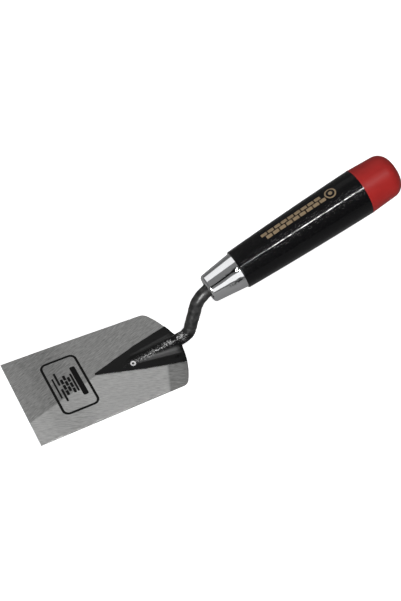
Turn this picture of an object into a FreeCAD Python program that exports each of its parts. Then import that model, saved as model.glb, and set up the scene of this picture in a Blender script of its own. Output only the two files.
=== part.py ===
"""Square-ended plasterer's trowel: a flat taper-ground blade, a forged foot with a swan neck,
a chromed ferrule and a turned wooden handle with a dipped end. Millimetres, +Z up.

Origin: the middle of the blade's sole. +X runs from the blade's front edge towards the handle.
"""
import FreeCAD, Part
import math
import os
import Sketcher
from FreeCAD import Placement, Rotation, Vector

doc = FreeCAD.newDocument("Trowel")

# ---------------------------------------------------------------------------------------------
# Driving sizes: one row each, with the alias that every formula below uses.
# ---------------------------------------------------------------------------------------------
SIZES = [
    # blade
    ("blade_length", 118.0, "front edge to the middle of the rounded heel"),
    ("blade_front_width", 74.0, "across the straight front edge"),
    ("blade_heel_width", 69.6, "across the two heel corners"),
    ("blade_heel_radius", 60.0, "radius of the arc that closes the heel"),
    ("blade_corner_radius", 6.0, "rounding of the two heel corners"),
    ("blade_heel_thickness", 1.6, "plate under the foot, left full"),
    ("blade_front_thickness", 0.9, "plate at the front edge, ground thin"),
    # foot: the triangular forging that lies on the plate, measured forward from the heel
    ("foot_length", 64.0, "heel to the foot's tip"),
    ("foot_knee_length", 30.2, "heel to the knee, where the foot's sides turn"),
    ("foot_tip_half_width", 0.6, "half across the tip"),
    ("foot_knee_half_width", 11.1, "half across the knees"),
    ("foot_heel_half_width", 18.4, "half across the foot's back, before the heel arc trims it"),
    ("foot_edge_height", 0.5, "feather edge all round the foot"),
    ("ridge_tip_half_width", 0.36, "half across the ridge where it runs out at the tip"),
    ("ridge_tip_valley", 0.55, "foot of the ridge above the plate at the tip"),
    ("ridge_tip_height", 0.7, "ridge crest above the plate at the tip"),
    ("ridge_knee_half_width", 3.0, "half across the rounded ridge at the knees"),
    ("ridge_knee_height", 3.0, "ridge crest above the plate at the knees"),
    ("ridge_knee_valley", 0.9, "foot of the ridge above the plate at the knees"),
    ("ridge_heel_valley", 1.4, "foot of the ridge above the plate at the heel"),
    # swan neck: round bar in the plane of symmetry, measured back from the heel and up from the sole
    ("neck_diameter", 9.0, "round bar"),
    ("neck_underside", 0.5, "bar underside over the sole where it leaves the heel"),
    ("neck_start_overlap", 1.5, "bar run inside the ridge, ahead of the heel"),
    ("neck_start_slope", 13.0, "degrees: climb of the first run"),
    ("neck_riser_slope", 79.5, "degrees: climb of the riser"),
    ("neck_low_radius", 8.0, "centre-line radius of the low bend"),
    ("neck_top_radius", 20.0, "centre-line radius of the top bend"),
    ("neck_corner_back", 14.1, "where riser and handle axis cross, back from the heel"),
    ("neck_corner_height", 42.9, "where riser and handle axis cross, above the sole"),
    # handle axis
    ("handle_rise", 20.0, "degrees: climb of the handle axis"),
    ("ferrule_lead", 7.2, "crossing point to the ferrule's front face, along the handle axis"),
    # tang: the bar's tapered end, driven into the wood
    ("tang_length", 62.0, "past the wood's shoulder"),
    ("tang_end_diameter", 4.5, "at its point"),
    # ferrule
    ("ferrule_length", 24.6, "front face to the wood's shoulder"),
    ("ferrule_rear_diameter", 26.1, "at the wood's shoulder"),
    ("ferrule_front_diameter", 20.1, "at the front face, before rounding"),
    ("ferrule_front_radius", 2.6, "rounding of the front rim"),
    ("ferrule_wall", 0.9, "drawn sheet"),
    ("ferrule_hole_gap", 0.35, "round the bent neck, on the radius"),
    # wooden handle
    ("handle_length", 127.6, "shoulder to the far end of the dipped end"),
    ("handle_shoulder_step", 1.0, "wood proud of the ferrule, on the radius"),
    ("handle_full_diameter", 33.8, "where the dipped end begins"),
    ("handle_swell_radius", 3200.0, "long outward curve of the grip"),
    ("handle_shoulder_round", 0.8, "broken edge of the shoulder"),
    ("spigot_gap", 0.05, "wood spigot to ferrule, on the radius"),
    ("spigot_bend_gap", 0.5, "wood spigot to the end of the neck's top bend"),
    ("tang_gap", 0.05, "tang to its bore, on the radius"),
    ("tang_end_gap", 4.0, "bore past the tang's point"),
    # dipped end
    ("cap_length", 28.9, "boundary to the far end"),
    ("cap_thickness", 0.6, "coat over the turned-down wood"),
    ("cap_rear_diameter", 31.0, "where side and dome would meet, before rounding"),
    ("cap_corner_radius", 9.0, "rounding between side and dome"),
    ("cap_dome_radius", 34.0, "shallow dome of the end"),
]

sheet = doc.addObject("Spreadsheet::Sheet", "Sizes")
for row, (alias, value, meaning) in enumerate(SIZES, start=1):
    sheet.set(f"A{row}", alias)
    sheet.set(f"B{row}", str(value))
    sheet.set(f"C{row}", meaning)
    sheet.setAlias(f"B{row}", alias)
doc.recompute()


class Term:
    """A size, or a sum of sizes: its number today and the formula that a sketch is bound to."""

    def __init__(self, number, formula):
        self.number = float(number)
        self.formula = formula

    @staticmethod
    def of(value):
        return value if isinstance(value, Term) else Term(value, repr(float(value)))

    def __add__(self, other):
        other = Term.of(other)
        return Term(self.number + other.number, f"({self.formula} + {other.formula})")

    def __sub__(self, other):
        other = Term.of(other)
        return Term(self.number - other.number, f"({self.formula} - {other.formula})")

    def __mul__(self, other):
        other = Term.of(other)
        return Term(self.number * other.number, f"({self.formula} * {other.formula})")

    def __truediv__(self, other):
        other = Term.of(other)
        return Term(self.number / other.number, f"({self.formula} / {other.formula})")

    def __neg__(self):
        return Term(-self.number, f"(0 - {self.formula})")


def cosine(angle):
    return Term(math.cos(math.radians(angle.number)), f"cos({angle.formula})")


def sine(angle):
    return Term(math.sin(math.radians(angle.number)), f"sin({angle.formula})")


def root(term):
    return Term(math.sqrt(term.number), f"sqrt({term.formula})")


def bend_trim(radius, angle):
    """How far from its corner a bend of this radius begins: radius times tan(angle / 2)."""
    return radius * sine(angle) / (Term.of(1) + cosine(angle))


size = {alias: Term(value, f"Sizes.{alias}") for alias, value, _ in SIZES}
ZERO = Term.of(0)
CUT_MARGIN = Term.of(5)         # how far a cutting outline runs past what it cuts
SAME_PLACE = 0.01               # mm within which an edge counts as lying on a rim
UPRIGHT = 0.99                  # an edge counts as upright above this share of straight up


# ---------------------------------------------------------------------------------------------
# Helpers for bodies and sketches
# ---------------------------------------------------------------------------------------------
def new_body(label):
    body = doc.addObject("PartDesign::Body", label)
    body.Label = label
    return body


def origin_part(body, role):
    return next(part for part in body.Origin.OriginFeatures if part.Role == role)


def new_sketch(body, name, role, along=None, up=None, tilt=None):
    """A sketch on one of the body's own planes, moved along its normal and up its own y axis,
    and tilted about its own x axis."""
    sketch = body.newObject("Sketcher::SketchObject", name)
    sketch.AttachmentSupport = [(origin_part(body, role), "")]
    sketch.MapMode = "FlatFace"
    if tilt is not None:
        sketch.AttachmentOffset = Placement(Vector(), Rotation(Vector(1, 0, 0), tilt.number))
        sketch.setExpression("AttachmentOffset.Rotation.Angle", tilt.formula)
    if up is not None:
        sketch.setExpression("AttachmentOffset.Base.y", up.formula)
    if along is not None:
        sketch.setExpression("AttachmentOffset.Base.z", along.formula)
    return sketch


def bind(sketch, kind, *where, to):
    """Add one dimension to a sketch and bind it to a formula."""
    index = sketch.addConstraint(Sketcher.Constraint(kind, *where, to.number))
    sketch.setExpression(f"Constraints[{index}]", to.formula)


def pin_point(sketch, geometry, point, place):
    bind(sketch, "DistanceX", geometry, point, to=place[0])
    bind(sketch, "DistanceY", geometry, point, to=place[1])


def bulged_arc(start, end, radius):
    """The short arc from start to end that bulges to the left of that direction when radius > 0."""
    middle = (start + end) * 0.5
    half = (end - start) * 0.5
    left = Vector(-half.y, half.x, 0).normalize()
    rise = abs(radius) - math.sqrt(radius * radius - half.Length ** 2)
    return Part.Arc(start, middle + left * math.copysign(rise, radius), end)


def closed_outline(sketch, corners):
    """Draw a closed outline. A corner is (x, y) or (x, y, r): r is the radius of the arc that
    leaves it for the next corner, and a minus sign bends that arc to the right."""
    points = [Vector(corner[0].number, corner[1].number, 0) for corner in corners]
    for k, corner in enumerate(corners):
        start, end = points[k], points[(k + 1) % len(corners)]
        if len(corner) == 3:
            sketch.addGeometry(bulged_arc(start, end, corner[2].number), False)
        else:
            sketch.addGeometry(Part.LineSegment(start, end), False)
    # An arc is always kept anticlockwise, so one that bends to the left has its ends swapped.
    first = [2 if len(corner) == 3 and corner[2].number > 0 else 1 for corner in corners]
    for k, corner in enumerate(corners):
        after = (k + 1) % len(corners)
        sketch.addConstraint(Sketcher.Constraint("Coincident", k, 3 - first[k], after, first[after]))
        pin_point(sketch, k, first[k], corner)
        if len(corner) == 3:
            size_now = corner[2] if corner[2].number > 0 else -corner[2]
            bind(sketch, "Radius", k, to=size_now)


def pad(body, name, sketch, height):
    feature = body.newObject("PartDesign::Pad", name)
    feature.Profile = sketch
    feature.setExpression("Length", height.formula)
    return feature


def cut_upwards(body, name, sketch, height):
    """Pocket that removes material above the sketch plane (or on its normal's side)."""
    doc.recompute()
    before = body.Shape.Volume
    feature = body.newObject("PartDesign::Pocket", name)
    feature.Profile = sketch
    feature.Reversed = True
    feature.setExpression("Length", height.formula)
    doc.recompute()
    if body.Shape.Volume >= before:
        raise RuntimeError(f"{name} cut nothing")
    return feature


def turn(body, name, sketch):
    """Revolve a profile about the body's own X axis."""
    feature = body.newObject("PartDesign::Revolution", name)
    feature.Profile = sketch
    feature.ReferenceAxis = (origin_part(body, "X_Axis"), [""])
    feature.Angle = 360.0
    return feature


def edges_near(shape, wanted):
    """Names of the edges whose middle satisfies a test."""
    names = []
    for number, edge in enumerate(shape.Edges, start=1):
        middle = edge.valueAt((edge.FirstParameter + edge.LastParameter) / 2)
        if wanted(edge, middle):
            names.append(f"Edge{number}")
    return names


# ---------------------------------------------------------------------------------------------
# Places that several pieces share
# ---------------------------------------------------------------------------------------------
heel_x = size["blade_length"] / 2                       # middle of the heel, from the origin
front_x = -heel_x
rise = size["handle_rise"]
neck_radius = size["neck_diameter"] / 2
neck_heel_height = size["neck_underside"] + neck_radius             # bar centre at the heel
shoulder_reach = size["ferrule_lead"] + size["ferrule_length"]      # neck corner to wood shoulder
handle_front_radius = size["ferrule_rear_diameter"] / 2 + size["handle_shoulder_step"]
top_bend_trim = bend_trim(size["neck_top_radius"], size["neck_riser_slope"] - rise)


def on_handle_axis(reach):
    """Place at a distance from the neck's top corner: back from the heel, and above the sole."""
    return size["neck_corner_back"] + reach * cosine(rise), size["neck_corner_height"] + reach * sine(rise)


def place_on_handle_axis(body):
    """Local +X runs along the handle axis, away from the blade, from the wood's shoulder."""
    shoulder_back, shoulder_z = on_handle_axis(shoulder_reach)
    shoulder_x = heel_x + shoulder_back
    body.Placement = Placement(Vector(shoulder_x.number, 0, shoulder_z.number),
                               Rotation(Vector(0, 1, 0), -rise.number))
    body.setExpression("Placement.Base.x", shoulder_x.formula)
    body.setExpression("Placement.Base.z", shoulder_z.formula)
    body.setExpression("Placement.Rotation.Angle", (-rise).formula)


def heel_arc_x(half_width, middle):
    """How far forward the heel arc lies at a distance from the centre line."""
    radius = size["blade_heel_radius"]
    return middle - radius + root(radius * radius - half_width * half_width)


# ---------------------------------------------------------------------------------------------
# Blade: rolled steel plate, cut out, heel corners rounded, top ground down towards the front
# ---------------------------------------------------------------------------------------------
def make_blade():
    body = new_body("blade")
    half_front = size["blade_front_width"] / 2
    half_heel = size["blade_heel_width"] / 2
    corner_x = heel_arc_x(half_heel, heel_x)

    outline = new_sketch(body, "blade_outline", "XY_Plane")
    closed_outline(outline, [
        (front_x, half_front),
        (front_x, -half_front),
        (corner_x, -half_heel, -size["blade_heel_radius"]),
        (corner_x, half_heel),
    ])
    plate = pad(body, "blade_plate", outline, size["blade_heel_thickness"])
    doc.recompute()

    corners = edges_near(plate.Shape, lambda edge, at: edge.Curve.TypeId == "Part::GeomLine"
                         and abs(edge.tangentAt(edge.FirstParameter).z) > UPRIGHT and at.x > 0)
    rounding = body.newObject("PartDesign::Fillet", "blade_heel_corners")
    rounding.Base = (plate, corners)
    rounding.setExpression("Radius", size["blade_corner_radius"].formula)

    # The grind: a long wedge taken off the top, from the foot's tip to the front edge.
    wedge = new_sketch(body, "blade_grind_wedge", "XZ_Plane")
    grind_end = heel_x - size["foot_length"]
    above = size["blade_heel_thickness"] + CUT_MARGIN
    closed_outline(wedge, [
        (front_x - CUT_MARGIN, size["blade_front_thickness"]),
        (front_x, size["blade_front_thickness"]),
        (grind_end, size["blade_heel_thickness"]),
        (grind_end, above),
        (front_x - CUT_MARGIN, above),
    ])
    before = body.Shape.Volume
    grind = body.newObject("PartDesign::Pocket", "blade_grind")
    grind.Profile = wedge
    grind.Midplane = True
    widest = size["blade_front_width"] + size["blade_heel_width"]
    grind.setExpression("Length", widest.formula)
    doc.recompute()
    if body.Shape.Volume >= before:
        raise RuntimeError("blade_grind cut nothing")
    return body


# ---------------------------------------------------------------------------------------------
# Shank: one forging, with the foot that is welded on the plate, the swan neck and the tang
# ---------------------------------------------------------------------------------------------
def foot_section(body, name, along, half_width, edge, ridge_half, valley, crest):
    """Cross-section of the foot: flat underside, feather edges, slopes, and a rounded ridge."""
    section = new_sketch(body, name, "YZ_Plane", along=along)
    bottom = size["blade_heel_thickness"]
    lift = crest - valley
    crest_radius = (ridge_half * ridge_half + lift * lift) / (lift * 2)
    closed_outline(section, [
        (-half_width, bottom),
        (half_width, bottom),
        (half_width, bottom + edge),
        (ridge_half, bottom + valley, -crest_radius),
        (-ridge_half, bottom + valley),
        (-half_width, bottom + edge),
    ])
    return section


def behind_heel(body):
    """Everything behind the heel arc, across the foot and a little more."""
    outline = new_sketch(body, "behind_heel", "XY_Plane")
    half = size["foot_heel_half_width"] + CUT_MARGIN
    arc_x = heel_arc_x(half, ZERO)
    closed_outline(outline, [
        (CUT_MARGIN, -half),
        (CUT_MARGIN, half),
        (arc_x, half, size["blade_heel_radius"]),
        (arc_x, -half),
    ])
    return outline


def over_plate(body):
    """The plate's own area ahead of the heel arc, as far forward as the bar reaches."""
    outline = new_sketch(body, "over_plate", "XY_Plane")
    half = size["foot_heel_half_width"] + CUT_MARGIN
    arc_x = heel_arc_x(half, ZERO)
    ahead_x = arc_x - size["neck_start_overlap"] - size["neck_diameter"]
    closed_outline(outline, [
        (arc_x, -half, -size["blade_heel_radius"]),
        (arc_x, half),
        (ahead_x, half),
        (ahead_x, -half),
    ])
    return outline


def neck_path(body):
    """Centre line: a short climbing run, the low bend, the riser, the top bend, then straight."""
    path = new_sketch(body, "neck_path", "XZ_Plane")
    slopes = [size["neck_start_slope"], size["neck_riser_slope"], rise]
    ways = [Vector(cosine(slope).number, sine(slope).number, 0) for slope in slopes]
    overlap = size["neck_start_overlap"]
    start_height = neck_heel_height - overlap * sine(slopes[0]) / cosine(slopes[0])
    start = Vector(-overlap.number, start_height.number, 0)
    top_corner = Vector(size["neck_corner_back"].number, size["neck_corner_height"].number, 0)
    # The low corner is where the first run, carried on, meets the riser's line.
    gap = top_corner - start
    reach = (gap.x * ways[1].y - gap.y * ways[1].x) / (ways[0].x * ways[1].y - ways[0].y * ways[1].x)
    low_corner = start + ways[0] * reach
    end = top_corner + ways[2] * shoulder_reach.number

    radii = [size["neck_low_radius"], size["neck_top_radius"]]
    turns = [ways[0].getAngle(ways[1]), ways[1].getAngle(ways[2])]
    trims = [radius.number * math.tan(angle / 2) for radius, angle in zip(radii, turns)]
    low_in, low_out = low_corner - ways[0] * trims[0], low_corner + ways[1] * trims[0]
    top_in, top_out = top_corner - ways[1] * trims[1], top_corner + ways[2] * trims[1]
    low_middle = low_corner + (ways[1] - ways[0]).normalize() * (
        radii[0].number / math.cos(turns[0] / 2) - radii[0].number)
    top_middle = top_corner + (ways[2] - ways[1]).normalize() * (
        radii[1].number / math.cos(turns[1] / 2) - radii[1].number)

    run, low, riser, top, straight, corner = range(6)
    path.addGeometry(Part.LineSegment(start, low_in), False)
    path.addGeometry(Part.Arc(low_in, low_middle, low_out), False)
    path.addGeometry(Part.LineSegment(low_out, top_in), False)
    path.addGeometry(Part.Arc(top_in, top_middle, top_out), False)
    path.addGeometry(Part.LineSegment(top_out, end), False)
    path.addGeometry(Part.Point(top_corner), True)
    # Arcs are kept anticlockwise: the low bend turns left (start first), the top bend right.
    path.addConstraint(Sketcher.Constraint("Tangent", run, 2, low, 1))
    path.addConstraint(Sketcher.Constraint("Tangent", low, 2, riser, 1))
    path.addConstraint(Sketcher.Constraint("Tangent", riser, 2, top, 2))
    path.addConstraint(Sketcher.Constraint("Tangent", top, 1, straight, 1))
    path.addConstraint(Sketcher.Constraint("PointOnObject", corner, 1, riser))
    path.addConstraint(Sketcher.Constraint("PointOnObject", corner, 1, straight))
    pin_point(path, run, 1, (-overlap, start_height))
    pin_point(path, corner, 1, (size["neck_corner_back"], size["neck_corner_height"]))
    for line, slope in zip((run, riser, straight), slopes):
        index = path.addConstraint(Sketcher.Constraint("Angle", line, math.radians(slope.number)))
        path.setExpression(f"Constraints[{index}]", f"{slope.formula} * 1 deg")
    bind(path, "Radius", low, to=radii[0])
    bind(path, "Radius", top, to=radii[1])
    bind(path, "DistanceX", corner, 1, straight, 2, to=shoulder_reach * cosine(rise))
    return path, start_height


def bar_section(body, name, along, up, slope, diameter):
    """A round section of the bar, square to its centre line."""
    section = new_sketch(body, name, "YZ_Plane", along=along, up=up, tilt=-slope)
    section.addGeometry(Part.Circle(Vector(), Vector(0, 0, 1), diameter.number / 2), False)
    section.addConstraint(Sketcher.Constraint("Coincident", 0, 3, -1, 1))
    bind(section, "Diameter", 0, to=diameter)
    return section


def make_shank():
    body = new_body("shank")
    body.setExpression("Placement.Base.x", heel_x.formula)

    edge = size["foot_edge_height"]
    heel_crest = neck_heel_height + neck_radius - size["blade_heel_thickness"]
    tip = foot_section(body, "foot_tip", -size["foot_length"], size["foot_tip_half_width"], edge,
                       size["ridge_tip_half_width"], size["ridge_tip_valley"],
                       size["ridge_tip_height"])
    knee = foot_section(body, "foot_knee", -size["foot_knee_length"],
                        size["foot_knee_half_width"], edge, size["ridge_knee_half_width"],
                        size["ridge_knee_valley"], size["ridge_knee_height"])
    heel = foot_section(body, "foot_heel", ZERO, size["foot_heel_half_width"], edge,
                        neck_radius, size["ridge_heel_valley"], heel_crest)
    foot = body.newObject("PartDesign::AdditiveLoft", "foot")
    foot.Profile = tip
    foot.Sections = [knee, heel]
    foot.Ruled = True

    cut_upwards(body, "foot_heel_cut", behind_heel(body),
                size["blade_heel_thickness"] + heel_crest + CUT_MARGIN)

    path, start_height = neck_path(body)
    neck = body.newObject("PartDesign::AdditivePipe", "neck")
    neck.Profile = bar_section(body, "neck_bar", -size["neck_start_overlap"], start_height,
                               size["neck_start_slope"], size["neck_diameter"])
    neck.Spine = path

    tang_reach = shoulder_reach + size["tang_length"]
    root_x, root_z = on_handle_axis(shoulder_reach)
    point_x, point_z = on_handle_axis(tang_reach)
    tang = body.newObject("PartDesign::AdditiveLoft", "tang")
    tang.Profile = bar_section(body, "tang_root", root_x, root_z, rise, size["neck_diameter"])
    tang.Sections = [bar_section(body, "tang_point", point_x, point_z, rise,
                                 size["tang_end_diameter"])]
    tang.Ruled = True

    # Where the bar runs over the plate it is forged flat on it, and stands behind the heel.
    cut_upwards(body, "plate_seat_cut", over_plate(body), size["blade_heel_thickness"])
    return body


# ---------------------------------------------------------------------------------------------
# Ferrule: drawn steel cup, chromed, with a hole for the neck
# ---------------------------------------------------------------------------------------------
ferrule_drop = size["ferrule_rear_diameter"] - size["ferrule_front_diameter"]


def ferrule_radius(along):
    """Outer radius of the ferrule's cone at a place on the handle axis (0 at the shoulder)."""
    return size["ferrule_rear_diameter"] / 2 + along * ferrule_drop / 2 / size["ferrule_length"]


def make_ferrule():
    body = new_body("ferrule")
    place_on_handle_axis(body)
    front = -size["ferrule_length"]
    wall = size["ferrule_wall"]
    # The top bend ends inside the ferrule, so the bar is still a little off the axis in the hole.
    bend = size["neck_top_radius"]
    left_to_bend = top_bend_trim - size["ferrule_lead"]
    off_axis = bend - root(bend * bend - left_to_bend * left_to_bend)
    hole = neck_radius + off_axis + size["ferrule_hole_gap"]
    profile = new_sketch(body, "ferrule_profile", "XZ_Plane")
    closed_outline(profile, [
        (front, hole),
        (front + wall, hole),
        (front + wall, ferrule_radius(front + wall) - wall),
        (ZERO, ferrule_radius(ZERO) - wall),
        (ZERO, ferrule_radius(ZERO)),
        (front, ferrule_radius(front)),
    ])
    cup = turn(body, "ferrule_cup", profile)
    doc.recompute()
    rim_radius = ferrule_radius(front).number
    rims = edges_near(cup.Shape, lambda edge, at: abs(at.x - front.number) < SAME_PLACE
                      and abs(math.hypot(at.y, at.z) - rim_radius) < SAME_PLACE)
    rounding = body.newObject("PartDesign::Fillet", "ferrule_front_rim")
    rounding.Base = (cup, rims)
    rounding.setExpression("Radius", size["ferrule_front_radius"].formula)
    return body


# ---------------------------------------------------------------------------------------------
# Handle: turned wood, with a spigot in the ferrule, a bore for the tang and a turned-down end
# ---------------------------------------------------------------------------------------------
cap_start = size["handle_length"] - size["cap_length"]


def end_rim(depth):
    """Where side and dome of the handle's end meet, at a depth under the finished surface."""
    dome = size["cap_dome_radius"] - depth
    rim_radius = size["cap_rear_diameter"] / 2 - depth
    return size["handle_length"] - depth - dome + root(dome * dome - rim_radius * rim_radius), rim_radius


def round_end_rim(body, base, name, depth):
    """Fillet the rim of the handle's end that lies at a depth under the finished surface."""
    doc.recompute()
    place, rim_radius = end_rim(depth)
    rims = edges_near(base.Shape, lambda edge, at: abs(at.x - place.number) < SAME_PLACE
                      and abs(math.hypot(at.y, at.z) - rim_radius.number) < SAME_PLACE)
    rounding = body.newObject("PartDesign::Fillet", name)
    rounding.Base = (base, rims)
    rounding.setExpression("Radius", (size["cap_corner_radius"] - depth).formula)
    return rounding


def make_handle():
    body = new_body("handle")
    place_on_handle_axis(body)
    spigot_x = top_bend_trim + size["spigot_bend_gap"] - shoulder_reach
    inside = size["ferrule_wall"] + size["spigot_gap"]
    coat = size["cap_thickness"]
    broken = size["handle_shoulder_round"]
    bore_mouth = neck_radius + size["tang_gap"]
    bore_end = size["tang_end_diameter"] / 2 + size["tang_gap"]
    rim_x, rim_radius = end_rim(coat)
    profile = new_sketch(body, "handle_profile", "XZ_Plane")
    closed_outline(profile, [
        (spigot_x, bore_mouth),
        (spigot_x, ferrule_radius(spigot_x) - inside),
        (ZERO, ferrule_radius(ZERO) - inside),
        (ZERO, handle_front_radius - broken),
        (broken, handle_front_radius, size["handle_swell_radius"]),
        (cap_start, size["handle_full_diameter"] / 2),
        (cap_start, size["handle_full_diameter"] / 2 - coat),
        (rim_x, rim_radius, size["cap_dome_radius"] - coat),
        (size["handle_length"] - coat, ZERO),
        (size["tang_length"] + size["tang_end_gap"], ZERO),
        (size["tang_length"] + size["tang_end_gap"], bore_end),
        (ZERO, bore_mouth),
    ])
    wood = turn(body, "handle_wood", profile)
    round_end_rim(body, wood, "handle_end_rounding", coat)
    return body


# ---------------------------------------------------------------------------------------------
# End cap: the thick red dip coat over the end of the wood
# ---------------------------------------------------------------------------------------------
def make_end_cap():
    body = new_body("end_cap")
    place_on_handle_axis(body)
    coat = size["cap_thickness"]
    outer_x, outer_radius = end_rim(ZERO)
    inner_x, inner_radius = end_rim(coat)
    profile = new_sketch(body, "end_cap_profile", "XZ_Plane")
    closed_outline(profile, [
        (cap_start, size["handle_full_diameter"] / 2),
        (outer_x, outer_radius, size["cap_dome_radius"]),
        (size["handle_length"], ZERO),
        (size["handle_length"] - coat, ZERO, -(size["cap_dome_radius"] - coat)),
        (inner_x, inner_radius),
        (cap_start, size["handle_full_diameter"] / 2 - coat),
    ])
    shell = turn(body, "end_cap_coat", profile)
    outside = round_end_rim(body, shell, "end_cap_outer_rounding", ZERO)
    round_end_rim(body, outside, "end_cap_inner_rounding", coat)
    return body


bodies = [make_blade(), make_shank(), make_ferrule(), make_handle(), make_end_cap()]
doc.recompute()

failed = [thing.Name for thing in doc.Objects if {"Invalid", "Error"} & set(thing.State)]
if failed:
    raise RuntimeError(f"failed objects: {failed}")
for body in bodies:
    if body.Shape.isNull() or not body.Shape.isValid():
        raise RuntimeError(f"{body.Label} has no valid shape")

os.makedirs("parts", exist_ok=True)
for body in bodies:
    body.Shape.exportStep(f"parts/{body.Label}.step")
    box = body.Shape.optimalBoundingBox()
    print(f"{body.Label}: {len(body.Shape.Solids)} solid, {body.Shape.Volume:.0f} mm3, "
          f"x {box.XMin:.1f}..{box.XMax:.1f}, y {box.YMin:.1f}..{box.YMax:.1f}, "
          f"z {box.ZMin:.1f}..{box.ZMax:.1f}")
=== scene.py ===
# %% [markdown]
# # A plasterer's trowel, finished in Blender
#
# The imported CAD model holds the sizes: a ground steel blade, a black forging with a swan neck,
# a chromed ferrule, a lacquered wooden handle and a red dipped end. Everything here is in
# metres and in the same frame, so a piece goes where the CAD says. The sizes below are written
# in millimetres, as on a workshop drawing, and `MM` turns them into metres once, at the end.

import math

import bpy
import numpy as np
from mathutils import Matrix, Vector


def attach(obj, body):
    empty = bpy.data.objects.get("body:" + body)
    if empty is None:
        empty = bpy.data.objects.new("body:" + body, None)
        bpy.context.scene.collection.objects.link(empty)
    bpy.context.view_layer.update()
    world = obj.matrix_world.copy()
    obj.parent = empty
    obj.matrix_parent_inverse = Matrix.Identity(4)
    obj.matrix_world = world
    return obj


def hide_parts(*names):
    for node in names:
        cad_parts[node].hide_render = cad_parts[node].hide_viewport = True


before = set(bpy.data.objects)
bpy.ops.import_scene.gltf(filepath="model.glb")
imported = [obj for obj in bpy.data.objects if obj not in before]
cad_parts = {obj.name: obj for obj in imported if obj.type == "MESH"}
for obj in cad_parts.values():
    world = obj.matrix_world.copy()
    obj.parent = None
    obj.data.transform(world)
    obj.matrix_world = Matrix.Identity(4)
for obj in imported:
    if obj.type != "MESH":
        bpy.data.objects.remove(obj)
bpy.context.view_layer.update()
MM = 0.001
print("CAD nodes:", sorted(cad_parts))

# %% [markdown]
# ## The camera
#
# A product picture of a long tool is taken from above and to one side, so the blade's face and
# the handle's length both show. The camera stands 0.7 m away. Its place is worked out from two
# angles and a small roll, because those are easy to read and to change.

# %% Place the camera
CAMERA_PLACE = Vector((-160.1, -411.4, 550.8)) * MM
CAMERA_AZIMUTH = math.radians(-29.75)
CAMERA_ELEVATION = math.radians(47.33)
CAMERA_ROLL = math.radians(2.42)
LENS = 61.69
FRAMING_SHIFT = (-0.0004, 0.0004)


def in_scene(name, data):
    """A new object for a mesh, a lamp or a camera, linked into the scene."""
    thing = bpy.data.objects.new(name, data)
    bpy.context.scene.collection.objects.link(thing)
    return thing


back = Vector((
    math.sin(CAMERA_AZIMUTH) * math.cos(CAMERA_ELEVATION),
    -math.cos(CAMERA_AZIMUTH) * math.cos(CAMERA_ELEVATION),
    math.sin(CAMERA_ELEVATION),
))
level_right = Vector((math.cos(CAMERA_AZIMUTH), math.sin(CAMERA_AZIMUTH), 0))
level_up = back.cross(level_right)
right = level_right * math.cos(CAMERA_ROLL) + level_up * math.sin(CAMERA_ROLL)
camera = in_scene("camera", bpy.data.cameras.new("camera"))
camera.data.lens = LENS
camera.data.clip_start = 0.01
camera.data.shift_x, camera.data.shift_y = FRAMING_SHIFT
camera.matrix_world = Matrix.Translation(CAMERA_PLACE) @ Matrix(
    (right, back.cross(right), back)).transposed().to_4x4()
bpy.context.scene.camera = camera
bpy.context.scene.view_settings.view_transform = "Standard"
print("camera distance from the blade, m:", round(CAMERA_PLACE.length, 3))

# %% [markdown]
# ## Turning arrays into meshes
#
# Every piece is a surface: points on a grid, where one direction runs round a closed ring and
# the other carries the ring along. A ring surface that ends in a single point at each end is
# closed, like a sausage. One whose last ring joins its first is closed too, like a bracelet.
# The foot is a top grid over a low grid, so each row is a ring, and a strip of faces shuts each
# end. The faces are worked out for the whole grid at once. The enclosed volume then tells
# whether they point outwards: it is negative when they point in, and they are turned over.

# %% Helpers for closed ring surfaces
def ring_faces(rows, columns, bracelet=False):
    """Quads between neighbouring rings: each corner index is row * columns + column."""
    down = np.arange(rows if bracelet else rows - 1)[:, None]
    across = np.arange(columns)[None, :]
    below, beside = (down + 1) % rows, (across + 1) % columns
    quads = np.stack([down * columns + across, down * columns + beside,
                      below * columns + beside, below * columns + across], axis=-1)
    return quads.reshape(-1, 4)


def closed_surface(rings, poles=None):
    """Points and faces of a stack of rings, closed by a pole at each end, or as a bracelet."""
    rows, columns = rings.shape[:2]
    points = rings.reshape(-1, 3)
    if poles is None:
        return points, [ring_faces(rows, columns, bracelet=True)]
    count = len(points)
    points = np.vstack([points, poles])
    here = np.arange(columns)
    beside = (here + 1) % columns
    last = (rows - 1) * columns
    first_fan = np.stack([beside, here, np.full(columns, count)], axis=-1)
    last_fan = np.stack([last + here, last + beside, np.full(columns, count + 1)], axis=-1)
    return points, [ring_faces(rows, columns), first_fan, last_fan]


def closed_sheet(top, low):
    """A top grid over a low grid: each row is a ring, and a strip of quads shuts each end."""
    rows, columns = top.shape[:2]
    rings = np.concatenate([top, low[:, ::-1]], axis=1)
    here, around = np.arange(columns - 1), 2 * columns
    strip = np.stack([here, here + 1, around - 2 - here, around - 1 - here], axis=-1)
    return rings.reshape(-1, 3), [ring_faces(rows, around), strip[:, ::-1],
                                  strip + (rows - 1) * around]


def enclosed_volume(points, groups):
    """Sum of the signed tetrahedra from the origin to each face's triangles."""
    total = 0.0
    for faces in groups:
        for second in range(1, faces.shape[1] - 1):
            a, b, c = points[faces[:, 0]], points[faces[:, second]], points[faces[:, second + 1]]
            total += np.einsum("ij,ij->i", a, np.cross(b, c)).sum() / 6
    return total


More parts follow.
